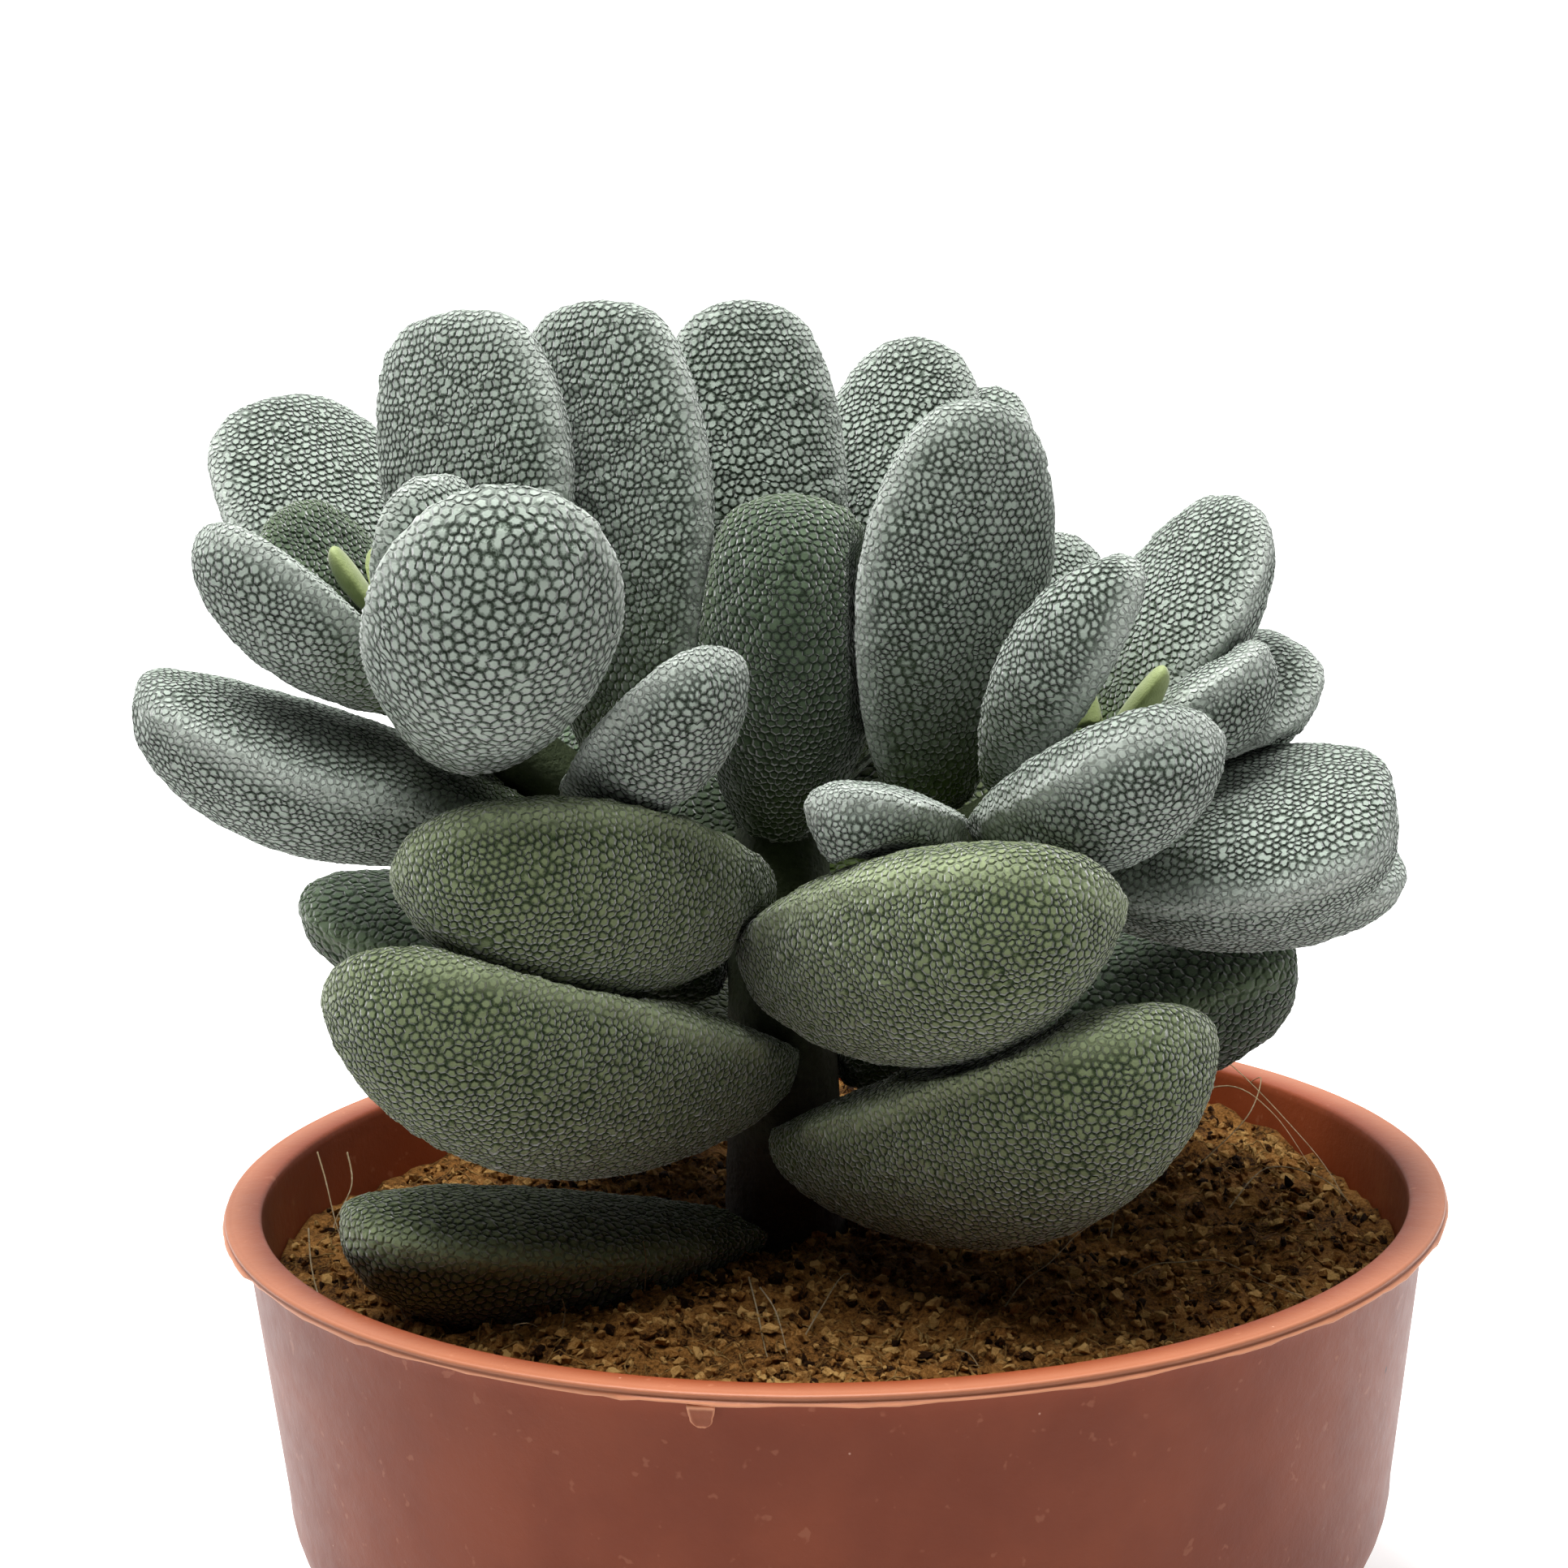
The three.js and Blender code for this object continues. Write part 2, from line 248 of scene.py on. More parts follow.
outside = [(0, 0)] + corner(FOOT, wall_foot - FOOT, CORNER, 0)
outside += [
    (wall_top - 0.1, HEIGHT - 1.4),
    (wall_top - 0.03, HEIGHT - 0.85),
    (wall_top + 0.12, HEIGHT - 0.54),
    (wall_top + 0.5, HEIGHT - 0.46),
    (RIM - 0.12, HEIGHT - 0.44),
    (RIM - 0.03, HEIGHT - 0.46),
    (RIM - 0.03, HEIGHT - 0.4),
    (RIM - 0.16, HEIGHT - 0.34),
    (RIM - 0.24, HEIGHT - 0.27),
    (RIM - 0.14, HEIGHT - 0.19),
    (RIM - 0.17, HEIGHT - 0.07),
    (RIM - 0.27, HEIGHT - 0.02),
    (RIM - 0.38, HEIGHT - 0.05),
    (RIM - 0.5, HEIGHT),
]
inside = [(0, FLOOR)] + corner(FOOT, wall_foot - WALL - FOOT, CORNER - FLOOR, FLOOR)
inside += [
    (wall_top - WALL - 0.04, HEIGHT - 0.5),
    (wall_top - WALL + 0.01, HEIGHT - 0.2),
    (wall_top - WALL + 0.08, HEIGHT - 0.07),
    (wall_top - WALL + 0.22, HEIGHT - 0.01),
]
bm = turned(outside + inside[::-1], POT_STEPS)
# Marks where painted highlight goes: strongest on the flash, weaker on the flange top and the band below it.
thin = bm.verts.layers.float.new("thin")
for v in bm.verts:
    radius, height = hypot(v.co.x, v.co.y), v.co.z
    turn = atan2(v.co.y, v.co.x)
    round_lip = Vector((cos(turn), sin(turn), 0))
    ragged = noise.noise(round_lip * 9) + 0.7 * noise.noise(round_lip * 40)
    if radius > (RIM - 0.2) * MM and height < (HEIGHT - 0.37) * MM:
        torn = TORN_DEPTH if TORN_FROM < turn < TORN_TO else 0.0
        v.co.z -= max(0.0, 0.02 + 0.13 * ragged) * MM
        shrink = 1 - (torn + max(0.0, -0.12 * ragged)) * MM / radius
        v.co.x *= shrink
        v.co.y *= shrink
        v[thin] = 0.75
    elif height > (HEIGHT - 0.3) * MM and radius > (RIM - 0.3) * MM:
        v.co.z += min(0.0, 0.02 * ragged) * MM
        v[thin] = 0.35
    elif height > (HEIGHT - 0.6) * MM and radius > wall_top * MM:
        v[thin] = 0.3
pot = add_piece("pot_shell", bm, terracotta_plastic())

DRAIN_HOLES = 4
DRAIN_RADIUS = 2.0
DRAIN_PITCH = 10.5
bm = bmesh.new()
for i in range(DRAIN_HOLES):
    turn = (i + 0.5) / DRAIN_HOLES * 2 * pi
    centre = Vector((DRAIN_PITCH * cos(turn), DRAIN_PITCH * sin(turn), 0)) * MM
    bmesh.ops.create_cone(
        bm, cap_ends=True, segments=32, radius1=DRAIN_RADIUS * MM, radius2=DRAIN_RADIUS * MM,
        depth=4 * FLOOR * MM, matrix=Matrix.Translation(centre),
    )
drills = add_piece("drills", bm, pot.data.materials[0])
cut = pot.modifiers.new("drain holes", "BOOLEAN")
cut.object = drills
cut.solver = "EXACT"


def bake(piece):
    """Replaces a piece's mesh by what its modifiers make of it."""
    bpy.context.view_layer.update()
    done = bpy.data.meshes.new_from_object(piece.evaluated_get(bpy.context.evaluated_depsgraph_get()))
    piece.modifiers.clear()
    piece.data = done


bake(pot)
bpy.data.objects.remove(drills)

TAB_AT = -5.45
TAB_WIDTH = 1.15
TAB_LENGTH = 0.95
TAB_THICKNESS = 0.16
bm = bmesh.new()
thin = bm.verts.layers.float.new("thin")
bmesh.ops.create_grid(bm, x_segments=10, y_segments=8, size=0.5)
for v in bm.verts:
    across, down = v.co.x * 2, 0.5 - v.co.y
    wave = noise.noise(Vector((across * 2, down * 3, 7)))
    narrowed = 1 - 0.3 * down - 0.45 * max(0, down - 0.6) ** 2 / 0.16
    x = TAB_AT + TAB_WIDTH / 2 * across * narrowed + 0.05 * wave
    radius = RIM - 0.12 - 0.35 * down
    v.co = Vector((x, -((radius**2 - x**2) ** 0.5) - 0.05 * wave, HEIGHT - 0.5 - TAB_LENGTH * down)) * MM
    # The tab's edges carry a strong painted highlight, its middle a faint one.
    v[thin] = 0.9 if v.is_boundary else 0.1
bmesh.ops.solidify(bm, geom=bm.faces[:], thickness=TAB_THICKNESS * MM)
bmesh.ops.recalc_face_normals(bm, faces=bm.faces)
tab = add_piece("moulding_tab", bm, pot.data.materials[0])
settle(pot, "terracotta_plastic", "pot")
settle(tab, "terracotta_plastic")


# The coir: damp coconut pith with loose fibres, filled to a few millimetres under the lip. A rough bed
# carries crumbs of pith, short bent fibres matted into it, and some long pale fibres lying on top.
BED_STEP = 0.3
BED_STEPS = 210
BED_GAP = 0.3
BED_TOP = 17.0
HEAP_X, HEAP_Y = 12.0, 15.0
HEAP_RISE = 2.4
HEAP_SPREAD = 130.0


def coir_material(name, dark, mid, light, crumbly):
    s = Shader(name)
    spot = s.place()
    tone = s.noise(spot, 0.35, 2) * 0.5 + s.noise(spot, 5, 5, 0.8) * 0.9
    if crumbly:
        tone = tone + s.attribute("tone") * 0.55 - 0.3
    color = s.ramp(tone, (0.45, dark), (0.66, mid), (0.92, light))
    rough = s.noise(spot, 9, 5, 0.8)
    return s.finish(color, 0.82, bump=rough, bump_height=0.0003, Specular_IOR_Level=0.1)


pith = coir_material("coir pith", (0.024, 0.008, 0.0016), (0.42, 0.185, 0.043), (0.8, 0.48, 0.16), True)
fibre = coir_material("coir fibre", (0.1, 0.045, 0.011), (0.34, 0.18, 0.052), (0.6, 0.4, 0.15), False)

soil_tree = BVHTree.FromObject(nodes["soil"], bpy.context.evaluated_depsgraph_get())
BED_EDGE = wall_top - WALL - TAPER * (HEIGHT - BED_TOP) - 0.08


def bed_height(x, y):
    """The height of the coir's surface at a point, in millimetres."""
    inward = min(1.0, (BED_EDGE - 1.5) / max(hypot(x, y), 0.001))
    hit = soil_tree.ray_cast(Vector((x * inward, y * inward, 60)) * MM, Vector((0, 0, -1)))[0]
    spot = Vector((x, y, 0))
    rough = 0.42 * noise.noise(spot * 0.55) + 0.34 * noise.noise(spot * 1.3 + Vector((9, 0, 0)))
    heap = HEAP_RISE * exp(-((x - HEAP_X) ** 2 + (y - HEAP_Y) ** 2) / HEAP_SPREAD)
    return hit.z / MM + heap + rough + 0.26 * noise.noise(spot * 3.1)


under = [(max(0, r - BED_GAP), z + BED_GAP) for r, z in inside if z < HEIGHT - 6]
over = [(BED_EDGE - BED_STEP * i, BED_TOP) for i in range(int(BED_EDGE / BED_STEP) + 1)] + [(0, BED_TOP)]
bm = turned(under + over, BED_STEPS)
tone = bm.verts.layers.float.new("tone")
for v in bm.verts:
    if v.co.z > (BED_TOP - 0.01) * MM:
        v.co.z = bed_height(v.co.x / MM, v.co.y / MM) * MM
        v[tone] = 0.35
settle(add_piece("coir_bed", bm, pith), "coir", "soil")

CRUMBS = 7000
CRUMB_BATCHES = 14
draw = random.Random(11)


def on_bed(margin):
    """A random spot on the coir."""
    radius = (BED_EDGE - margin) * draw.random() ** 0.5
    turn = draw.uniform(-pi, pi)
    return radius * cos(turn), radius * sin(turn)


whole = bmesh.new()
whole.verts.layers.float.new("tone")
for batch in range(CRUMB_BATCHES):
    bm = bmesh.new()
    tone = bm.verts.layers.float.new("tone")
    for i in range(CRUMBS // CRUMB_BATCHES):
        x, y = on_bed(0.5)
        size = 0.12 + 0.22 * draw.random() ** 2
        spot = Vector((x, y, bed_height(x, y) + size * 0.35)) * MM
        turned_by = Matrix.Rotation(draw.uniform(0, pi), 4, (draw.random(), draw.random(), 1))
        squashed = Matrix.Diagonal((draw.uniform(0.8, 1.5), draw.uniform(0.7, 1.1), draw.uniform(0.6, 1), 1))
        made = bmesh.ops.create_icosphere(
            bm, subdivisions=1, radius=size * MM, matrix=Matrix.Translation(spot) @ turned_by @ squashed
        )
        shade = draw.random()
        for v in made["verts"]:
            v.co += Vector((draw.uniform(-1, 1), draw.uniform(-1, 1), draw.uniform(-1, 1))) * size * 0.35 * MM
            v[tone] = shade
    part = bpy.data.meshes.new("crumbs")
    bm.to_mesh(part)
    bm.free()
    whole.from_mesh(part)
    bpy.data.meshes.remove(part)
settle(add_piece("coir_crumbs", whole, pith, smooth=False), "coir")


def strands(name, routes, thickness, material):
    """Thin closed tubes, each along one route of (point, relative thickness)."""
    curve = bpy.data.curves.new(name, "CURVE")
    curve.dimensions = "3D"
    curve.bevel_depth = thickness / 2 * MM
    curve.bevel_resolution = 0
    curve.use_fill_caps = True
    for route in routes:
        spline = curve.splines.new("POLY")
        spline.points.add(len(route) - 1)
        for point, (spot, thick) in zip(spline.points, route):
            point.co = (*(Vector(spot) * MM), 1)
            point.radius = thick
    holder = bpy.data.objects.new(name, curve)
    bpy.context.scene.collection.objects.link(holder)
    bpy.context.view_layer.update()
    mesh = bpy.data.meshes.new_from_object(holder.evaluated_get(bpy.context.evaluated_depsgraph_get()))
    bpy.data.objects.remove(holder)
    bm = bmesh.new()
    bm.from_mesh(mesh)
    bpy.data.meshes.remove(mesh)
    bmesh.ops.recalc_face_normals(bm, faces=bm.faces)
    return add_piece(name, bm, material)


FIBRES = 1400
FIBRE_PARTS = 8
FIBRE_THICKNESS = 0.07


def wandering_fibre(x, y, length, lift):
    """A bent fibre that dips into the coir at both ends."""
    heading, bend = draw.uniform(-pi, pi), draw.uniform(-0.32, 0.32)
    route = []
    for i in range(FIBRE_PARTS + 1):
        along = i / FIBRE_PARTS
        height = bed_height(x, y) + lift * sin(pi * along) - 0.12
        route.append(((x, y, height), 0.6 + 0.5 * sin(pi * along)))
        heading += bend + draw.uniform(-0.22, 0.22)
        x += length / FIBRE_PARTS * cos(heading)
        y += length / FIBRE_PARTS * sin(heading)
        if hypot(x, y) > BED_EDGE - 0.3:
            heading += pi / 2
            x, y = x * 0.97, y * 0.97
    return route


routes = []
for i in range(FIBRES):
    x, y = on_bed(1.5)
    routes.append(wandering_fibre(x, y, draw.uniform(0.8, 3.4), draw.uniform(0.1, 0.5)))
settle(strands("coir_fibres", routes, FIBRE_THICKNESS, fibre), "coir")

LONG_FIBRE_THICKNESS = 0.09
LONG_FIBRES = [
    [(-20.1, -4.9, 1.6), (-18.8, -8.4, 0.5), (-17.3, -12.3, 0.2), (-15.6, -14.6, -0.1)],
    [(-24.0, 1.4, 1.0), (-23.4, -3.1, 0.8), (-22.5, -7.5, 0.4), (-21.2, -10.4, -0.1)],
    [(-24.2, 8.0, 3.0), (-23.6, 5.6, 2.0), (-22.9, 3.0, 0.7), (-22.2, 1.2, -0.1)],
    [(-23.0, 9.8, 2.4), (-22.6, 7.4, 1.2), (-23.2, 4.6, 0.4), (-22.6, 2.2, -0.1)],
    [(-3.8, -7.6, 0.3), (-3.4, -11.4, 0.6), (-3.0, -15.1, 0.3), (-2.7, -16.4, -0.1)],
    [(-3.3, -8.5, 0.4), (-2.6, -12.2, 0.7), (-2.1, -15.1, 0.1)],
    [(-1.4, -13.3, 0.0), (-0.7, -10.8, 0.5), (0.4, -8.2, 0.6), (1.3, -6.8, 0.0)],
    [(6.9, -11.5, 0.0), (8.1, -9.1, 0.5), (9.3, -7.4, 0.7), (10.6, -3.9, 1.0), (11.4, -1.6, 0.8)],
    [(12.6, -7.2, 0.0), (13.9, -6.0, 0.5), (15.3, -5.5, 0.7), (17.0, -5.7, 0.7), (18.9, -7.0, 0.5),
     (21.2, -9.4, 0.2)],
    [(12.4, -1.2, 0.2), (12.9, 0.6, 0.7), (14.0, 1.2, 0.8), (15.6, 0.6, 0.3)],
    [(5.0, -15.0, 0.3), (5.6, -15.9, 0.5), (6.1, -18.2, 0.1)],
    [(-13.5, -12.2, 0.3), (-13.7, -13.2, 1.0), (-13.1, -13.9, 1.2), (-12.7, -13.4, 0.9)],
    [(-11.8, -11.9, 0.0), (-11.6, -12.0, 0.8), (-11.7, -12.1, 1.5)],
    [(-8.3, -9.0, 0.2), (-8.2, -9.1, 1.6), (-8.3, -9.2, 2.6)],
    [(15.5, 12.5, 0.2), (19.0, 14.0, 2.2), (21.0, 12.0, 1.6), (22.5, 9.0, 0.3)],
    [(17.0, 6.0, 0.3), (19.5, 9.5, 1.8), (20.6, 14.0, 2.6), (20.2, 16.0, 2.0)],
    [(14.0, 14.5, 0.2), (17.0, 17.5, 2.0), (19.0, 16.5, 2.4), (22.4, 9.6, 1.4), (23.6, 5.0, 0.2)],
    [(18.0, 2.0, 0.2), (20.0, 5.0, 0.9), (22.6, 5.6, 1.0), (24.0, 3.4, 0.2)],
]


def smooth_route(points, parts=7):
    """More points along a route, on a smooth curve through its own."""
    ends = [points[0], *points, points[-1]]
    route = []
    for i in range(1, len(ends) - 2):
        a, b, c, d = (Vector(p) for p in ends[i - 1:i + 3])
        for j in range(parts + (i == len(ends) - 3)):
            t = j / parts
            linear, square, cube = c - a, 2 * a - 5 * b + 4 * c - d, 3 * b - a - 3 * c + d
            route.append((2 * b + linear * t + square * t**2 + cube * t**3) / 2)
    return route


routes = []
for points in LONG_FIBRES:
    route = smooth_route([(x, y, bed_height(x, y) + lift) for x, y, lift in points])
    routes.append([(spot, 1 - 0.6 * i / len(route)) for i, spot in enumerate(route)])
pale_fibre = coir_material("pale coir fibre", (0.3, 0.2, 0.09), (0.5, 0.37, 0.2), (0.72, 0.6, 0.42), False)
settle(strands("long_fibres", routes, LONG_FIBRE_THICKNESS, pale_fibre), "coir")


# The stems: a short trunk with two side shoots, green turning brown and corky lower down. They grow
# from the coir and are mostly hidden by the leaves that clasp them. Their bark is darkened as painted
# shade.
def divided(node, levels):
    """A CAD node's mesh with its doubles merged, smoothly divided."""
    bm = bmesh.new()
    bm.from_mesh(nodes[node].data)
    bmesh.ops.remove_doubles(bm, verts=bm.verts, dist=0.002 * MM)
    bmesh.ops.join_triangles(
        bm, faces=bm.faces, angle_face_threshold=radians(40), angle_shape_threshold=radians(70)
    )
    cage = bpy.data.meshes.new("cage")
    bm.to_mesh(cage)
    bm.free()
    holder = bpy.data.objects.new("cage", cage)
    bpy.context.scene.collection.objects.link(holder)
    divide = holder.modifiers.new("divide", "SUBSURF")
    divide.levels = divide.render_levels = levels
    bake(holder)
    bm = bmesh.new()
    bm.from_mesh(holder.data)
    bpy.data.objects.remove(holder)
    return bm


def stem_bark():
    s = Shader("stem bark with painted shade")
    spot = s.place()
    height = s.node("ShaderNodeSeparateXYZ", inputs={0: spot}, out="Z")
    old = s.step(height + 8 * s.noise(spot, 0.5, 3), 36, 24)
    # Both the green and the brown are darkened far below the bark's own colours as painted shade, for the
    # stems stand deep among the leaves.
    green = s.blend(s.noise(spot, 3, 3), (0.015, 0.025, 0.006), (0.05, 0.07, 0.02))
    brown = s.blend(s.noise(spot, 4, 4), (0.012, 0.007, 0.003), (0.045, 0.028, 0.013))
    return s.finish(s.blend(old, green, brown), 0.8, bump=s.noise(spot, 5, 4), bump_height=0.0002)


bark = stem_bark()
for node in sorted(n for n in nodes if n.endswith("_stem")):
    bm = divided(node, 3)
    bm.normal_update()
    for v in bm.verts:
        v.co += v.normal * (0.12 * noise.noise(v.co / MM * 0.8) + 0.05 * noise.noise(v.co / MM * 3)) * MM
    settle(add_piece(node + "_bark", bm, bark), "stem", node)


# The leaves: thick, fleshy and hairy, each grown in one piece. Their skin is raised in pale pebbles with
# dark green cracks between, which fade out on the smooth rim and at the yellow-green base. The cracks are
# darkened further as painted shade in the crevices, the skin is darkened toward the base as painted shade,
# and leaves that sit in shadow get a darker copy of the skin as painted shade.
TOO_LONG = 1.35
TOO_SHORT = 0.8


def even_out(bm, spacing, rounds):
    """Redivides a closed mesh into even triangles, whose sides are about as long as spacing."""
    bmesh.ops.triangulate(bm, faces=bm.faces)
    skin = BVHTree.FromBMesh(bm)

    def wanted(edge):
        return spacing * (1 + 0.5 * noise.noise(edge.verts[0].co / MM * 1.4))

    for _ in range(rounds):
        long_ones = [e for e in bm.edges if e.calc_length() > TOO_LONG * wanted(e)]
        if long_ones:
            bmesh.ops.subdivide_edges(bm, edges=long_ones, cuts=1)
            bmesh.ops.triangulate(bm, faces=[f for f in bm.faces if len(f.verts) > 3])
        bm.edges.index_update()
        bm.edges.ensure_lookup_table()
        lengths = ((e.calc_length(), e.index, e) for e in bm.edges)
        short_ones = sorted((length, index) for length, index, e in lengths if length < TOO_SHORT * wanted(e))
        touched = set()
        closed = []
        for _, index in short_ones:
            edge = bm.edges[index]
            first, second = edge.verts
            if first in touched or second in touched:
                continue
            round_first = {e.other_vert(first) for e in first.link_edges}
            round_second = {e.other_vert(second) for e in second.link_edges}
            if len(round_first & round_second) == 2 and len(round_first | round_second) <= 12:
                closed.append(edge)
                touched |= round_first | round_second
        if closed:
            bmesh.ops.collapse(bm, edges=closed)
        bmesh.ops.beautify_fill(bm, faces=bm.faces, edges=bm.edges, use_restrict_tag=False, method="ANGLE")
        bmesh.ops.smooth_vert(
            bm, verts=bm.verts, factor=0.5, use_axis_x=True, use_axis_y=True, use_axis_z=True
        )
        for v in bm.verts:
            v.co = skin.find_nearest(v.co)[0]


STATIONS = 18
STATION_PARTS = 8
MARGIN_STANDS_OUT = 0.16
MARGIN_WIDTH = 0.34


class Margin:
    """The line along a leaf's two edges and round its tip, where the upper and lower faces meet."""

    def __init__(self, bm, base):
        tip = max((v.co for v in bm.verts), key=lambda p: (p - base).length).copy()
        self.length = (tip - base).length
        along = (tip - base).normalized()
        side = along.orthogonal().normalized()
        other = along.cross(side)
        spread = [((v.co - base).dot(side), (v.co - base).dot(other)) for v in bm.verts]
        mean_a, mean_b = (sum(n) / len(spread) for n in zip(*spread))
        mixed = sum((a - mean_a) * (b - mean_b) for a, b in spread)
        unlike = sum((a - mean_a) ** 2 - (b - mean_b) ** 2 for a, b in spread)
        turn = atan2(2 * mixed, unlike) / 2
        wide = side * cos(turn) + other * sin(turn)
        slices = [[] for _ in range(STATIONS)]
        for v in bm.verts:
            place = (v.co - base).dot(along) / self.length
            slices[min(STATIONS - 1, max(0, int(place * STATIONS)))].append(v.co.copy())
        near, far = [], []
        for points in slices[2:]:
            if len(points) > 3:
                centre = sum(points, Vector()) / len(points)
                low, high = min(points, key=wide.dot), max(points, key=wide.dot)
                near.append((low, (low - centre).normalized()))
                far.append((high, (high - centre).normalized()))
        line = near + [(tip, along)] + far[::-1]
        for _ in range(2):
            middle = [
                ((a[0] + 2 * b[0] + c[0]) / 4, (a[1] + 2 * b[1] + c[1]).normalized())
                for a, b, c in zip(line, line[1:], line[2:])
            ]
            line = [line[0], *middle, line[-1]]
        self.points = []
        for (start, start_out), (end, end_out) in zip(line, line[1:]):
            for i in range(STATION_PARTS):
                along = i / STATION_PARTS
                self.points.append((start.lerp(end, along), start_out.lerp(end_out, along)))
        self.tree = KDTree(len(self.points))
        for i, (point, _) in enumerate(self.points):
            self.tree.insert(point, i)
        self.tree.balance()

    def nearest(self, spot):
        """The nearest point of the line, its outward direction, and how far it is."""
        _, index, away = self.tree.find(spot)
        return (*self.points[index], away)

    def draw_out(self, bm, spacing):
        """Pulls the leaf's skin out to a crisp line along the margin."""
        for v in bm.verts:
            point, out, away = self.nearest(v.co)
            if away < 0.42 * spacing:
                v.co = point + out * MARGIN_STANDS_OUT * MM
            elif away < 3 * MARGIN_WIDTH * MM:
                v.co += out * MARGIN_STANDS_OUT * MM * exp(-((away / MM / MARGIN_WIDTH) ** 2))


JITTER = 0.27
MERGED_SHARE = 0.07


def raise_pebbles(bm, spacing, height, margin, base, draw):
    """Makes each point of an even mesh one raised pebble, with a crack round it."""
    skin = BVHTree.FromBMesh(bm)
    layers = bm.verts.layers.float
    crown, rim, foot = (layers.new(name) for name in ("crown", "rim", "foot"))
    for v in bm.verts:
        if margin.nearest(v.co)[2] > 0.6 * spacing:
            v.co += Vector([draw.uniform(-1, 1) for _ in range(3)]) * spacing * JITTER
    centres, sides = bm.verts[:], bm.edges[:]
    bmesh.ops.poke(bm, faces=bm.faces)
    bmesh.ops.rotate_edges(bm, edges=sides)
    bmesh.ops.dissolve_verts(bm, verts=centres)
    taken = set()
    merged = []
    for edge in bm.edges:
        if draw.random() < MERGED_SHARE and not taken & set(edge.link_faces):
            merged.append(edge)
            for face in edge.link_faces:
                taken.add(face)
                taken.update(f for e in face.edges for f in e.link_faces)
    bmesh.ops.dissolve_edges(bm, edges=merged)
    bm.normal_update()
    for v in bm.verts:
        v[rim] = margin.nearest(v.co)[2] / MM
        v[foot] = (v.co - base).length / margin.length
    for v in bm.verts:
        v.co -= v.normal * height * min(1.0, max(0.3, v[rim] / 0.5))
    for v in bmesh.ops.poke(bm, faces=bm.faces[:], offset=height * 1.2)["verts"]:
        point, out, away = margin.nearest(v.co)
        v[crown] = draw.uniform(0.75, 1.25)
        v[rim] = away / MM
        v[foot] = (v.co - base).length / margin.length
        if away < 0.45 * spacing:
            v.co = point + out * (MARGIN_STANDS_OUT * MM + height * 0.3)
    for v in {v for e in bm.edges if e.calc_length() > 2 * spacing for v in e.verts}:
        v.co = skin.find_nearest(v.co)[0]


def leaf_skin(name, crack, low, high, rim_color, foot_color):
    s = Shader(name)
    spot = s.place()
    fuzz = s.noise(spot, 8, 4, 0.8)
    ridge = s.attribute("crown")
    crown = ridge + (fuzz - 0.5) * 1.5 + (s.noise(spot, 1.6, 2) - 0.5) * 0.4
    patch = s.noise(spot, 0.22, 2)
    rim = s.attribute("rim")
    foot = s.attribute("foot")
    # The cracks' dark colour is partly the skin's own dark green and partly painted shade in the crevices
    # between the pebbles.
    crack = s.blend(s.step(rim, 1.4, 0.15) * 0.75, crack, high)
    skin = s.blend(s.step(crown, 0.02, 0.28), crack, low)
    skin = s.blend(s.step(crown + (patch - 0.5) * 0.3, 0.16, 0.56), skin, high)
    skin = s.blend(s.step(rim, 1.1, 0.05) * 0.65, skin, rim_color)
    # Toward the base the skin is darkened toward a dark yellow-green: painted shade where the leaves crowd
    # into the shoot's heart.
    skin = s.blend(s.step(foot + 0.2 * patch, 0.72, 0.2) * 0.7, skin, s.blend(0.45, crack, foot_color))
    skin = s.blend(s.step(foot + 0.1 * patch, 0.3, 0.08), skin, foot_color)
    bump = s.step(ridge, 0.0, 0.5) + 0.25 * fuzz
    return s.finish(
        skin, 0.78, bump=bump, bump_height=0.00017,
        Sheen_Weight=0.7, Sheen_Roughness=0.35, Specular_IOR_Level=0.2,
    )


SKINS = {
    "grey": leaf_skin(
        "grey pebbled skin", crack=(0.022, 0.034, 0.02), low=(0.125, 0.165, 0.125), high=(0.39, 0.455, 0.39),
        rim_color=(0.64, 0.7, 0.63), foot_color=(0.07, 0.12, 0.012),
    ),
    "green": leaf_skin(
        "green pebbled skin", crack=(0.016, 0.032, 0.009), low=(0.08, 0.115, 0.042), high=(0.2, 0.245, 0.122),
        rim_color=(0.42, 0.5, 0.28), foot_color=(0.07, 0.12, 0.01),
    ),
    # A darker copy of the pebbled skin: painted shade for the leaves that sit in shadow.
    "painted_shade": leaf_skin(
        "pebbled skin darkened as painted shade", crack=(0.018, 0.032, 0.014), low=(0.04, 0.07, 0.036), high=(0.1, 0.145, 0.085),
        rim_color=(0.17, 0.23, 0.13), foot_color=(0.04, 0.07, 0.01),
    ),
}
BACK_PITCH = 0.5
LEAF_PITCH = {"left_leaf_5": 0.5, "left_leaf_8": 0.42, "main_leaf_1": 0.44}
for node in ("main_leaf_2", "main_leaf_4", "main_leaf_6", "main_leaf_8", "main_leaf_10", "crown_leaf_5"):
    LEAF_PITCH[node] = BACK_PITCH
# Leaves given the darker skin as painted shade, for they sit in shadow.
PAINTED_SHADE_LEAVES = ("crown_leaf_1", "crown_leaf_5", "left_leaf_9", "main_leaf_6", "main_leaf_8")
YOUNG = ("left_leaf_10", "left_leaf_11", "right_leaf_11", "right_leaf_12", "crown_leaf_7")
USUAL_PITCH = 0.36
SMALL_PITCH = 0.33
SMALL_LEAF = 11
PEBBLE_RISE = 0.1

stem_points = [v.co for n in nodes if n.endswith("_stem") for v in nodes[n].data.vertices]
stem_tree = KDTree(len(stem_points))
for i, point in enumerate(stem_points):
    stem_tree.insert(point, i)
stem_tree.balance()

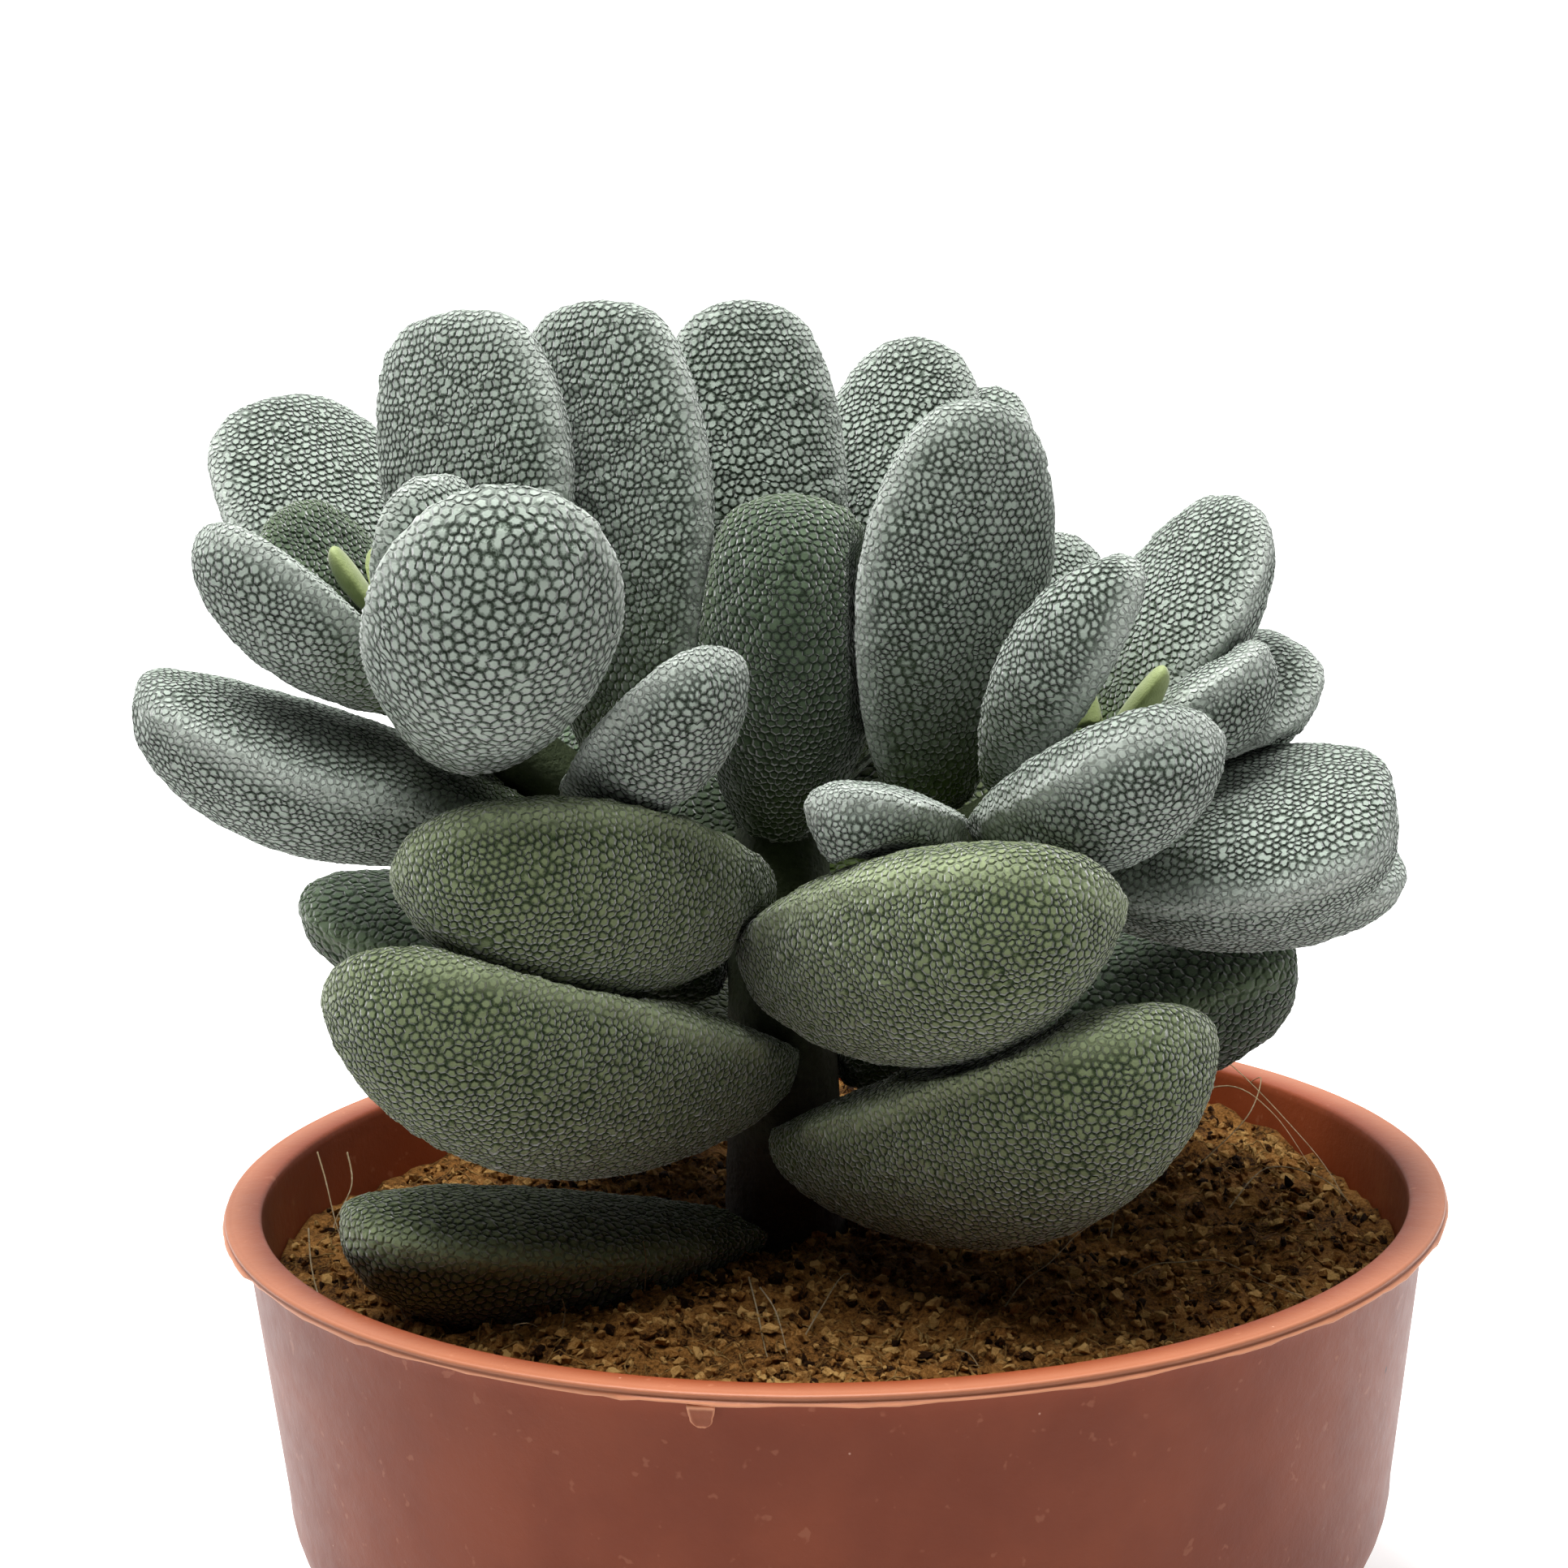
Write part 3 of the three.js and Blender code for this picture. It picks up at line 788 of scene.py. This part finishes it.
for node in sorted(n for n in nodes if "_leaf_" in n and n not in YOUNG):
    bm = divided(node, 2)
    base = min((v.co.copy() for v in bm.verts), key=lambda p: stem_tree.find(p)[2])
    margin = Margin(bm, base)
    usual = SMALL_PITCH if margin.length < SMALL_LEAF * MM else USUAL_PITCH
    pitch = LEAF_PITCH.get(node, usual) * MM
    even_out(bm, pitch, 5)
    margin.draw_out(bm, pitch)
    raise_pebbles(bm, pitch, pitch * PEBBLE_RISE, margin, base, random.Random(node))
    look = "painted_shade" if node in PAINTED_SHADE_LEAVES else "green" if node.startswith("main") else "grey"
    settle(add_piece(node + "_skin", bm, SKINS[look]), "leaf", node)


# The youngest leaves: tiny, smooth and yellow-green. Each is grown in one piece too, and they stand in
# the hearts of the shoots.
def young_skin():
    s = Shader("young skin")
    spot = s.place()
    color = s.blend(s.noise(spot, 1.5, 3), (0.17, 0.23, 0.05), (0.38, 0.45, 0.18))
    return s.finish(color, 0.6, bump=s.noise(spot, 12, 2), bump_height=0.00003, Sheen_Weight=0.4)


young = young_skin()
for node in YOUNG:
    bm = divided(node, 3)
    settle(add_piece(node + "_skin", bm, young), "young_leaf", node)


# The camera, the pale floor and the studio. The floor glows behind the pot and far from it, so that it shows
# as one pale ground, and the light comes from a bright wall behind, a bright ceiling and a soft box overhead.
sight = bpy.data.cameras.new("camera")
sight.sensor_width = 36
sight.lens = 106.4
sight.clip_start = 0.01
viewer = bpy.data.objects.new("camera", sight)
bpy.context.scene.collection.objects.link(viewer)
viewer.matrix_world = (
    Matrix.Translation((0, -0.2002, 0.0835))
    @ Matrix.Rotation(radians(0.54), 4, "Z")
    @ Matrix.Rotation(pi / 2 - radians(12.65), 4, "X")
    @ Matrix.Rotation(radians(-1.2), 4, "Z")
)
bpy.context.scene.camera = viewer

bm = bmesh.new()
bmesh.ops.create_grid(bm, x_segments=1, y_segments=1, size=40)
pale = Shader("pale floor")
back = pale.node("ShaderNodeSeparateXYZ", inputs={0: pale.place(1.0)}, out="Y")
near = pale.step(pale.away(pale.place(1.0), (0, 0, 0)), 1.2, 0.5)
dim = near * pale.step(back, 0.02, -0.03)
glow = pale.ramp(1 - dim, (0, (0.05, 0.05, 0.05)), (1, (1, 1, 1)))
floor = add_piece("floor", bm, pale.finish((0.6, 0.6, 0.6), 0.8, Emission_Strength=0.75))
pale.tree.links.new(glow.socket, pale.surface.inputs["Emission Color"])

world = bpy.data.worlds.new("studio")
bpy.context.scene.world = world
world.use_nodes = True
sky = Nodes(world.node_tree)
toward = sky.node("ShaderNodeTexCoord", out="Generated")
height = sky.node("ShaderNodeSeparateXYZ", inputs={0: toward}, out="Z")
depth = sky.node("ShaderNodeSeparateXYZ", inputs={0: toward}, out="Y")
above = sky.step(height, 0.5, 1.0) * sky.step(depth, -0.7, 0.2)
strength = 0.03 + 0.85 * sky.step(depth, -0.05, 0.75) + 2.1 * above
backdrop = sky.tree.nodes["Background"]
sky.tree.links.new(strength.socket, backdrop.inputs["Strength"])
backdrop.inputs["Color"].default_value = (1, 1, 1, 1)

light = bpy.data.lights.new("soft box", "AREA")
light.size = 0.3
light.energy = 4.0
box = bpy.data.objects.new("soft box", light)
bpy.context.scene.collection.objects.link(box)
box.location = (-0.08, -0.02, 0.5)
box.rotation_euler = (Vector((0, 0, 0.04)) - box.location).to_track_quat("-Z", "Y").to_euler()
bpy.context.scene.view_settings.view_transform = "Standard"
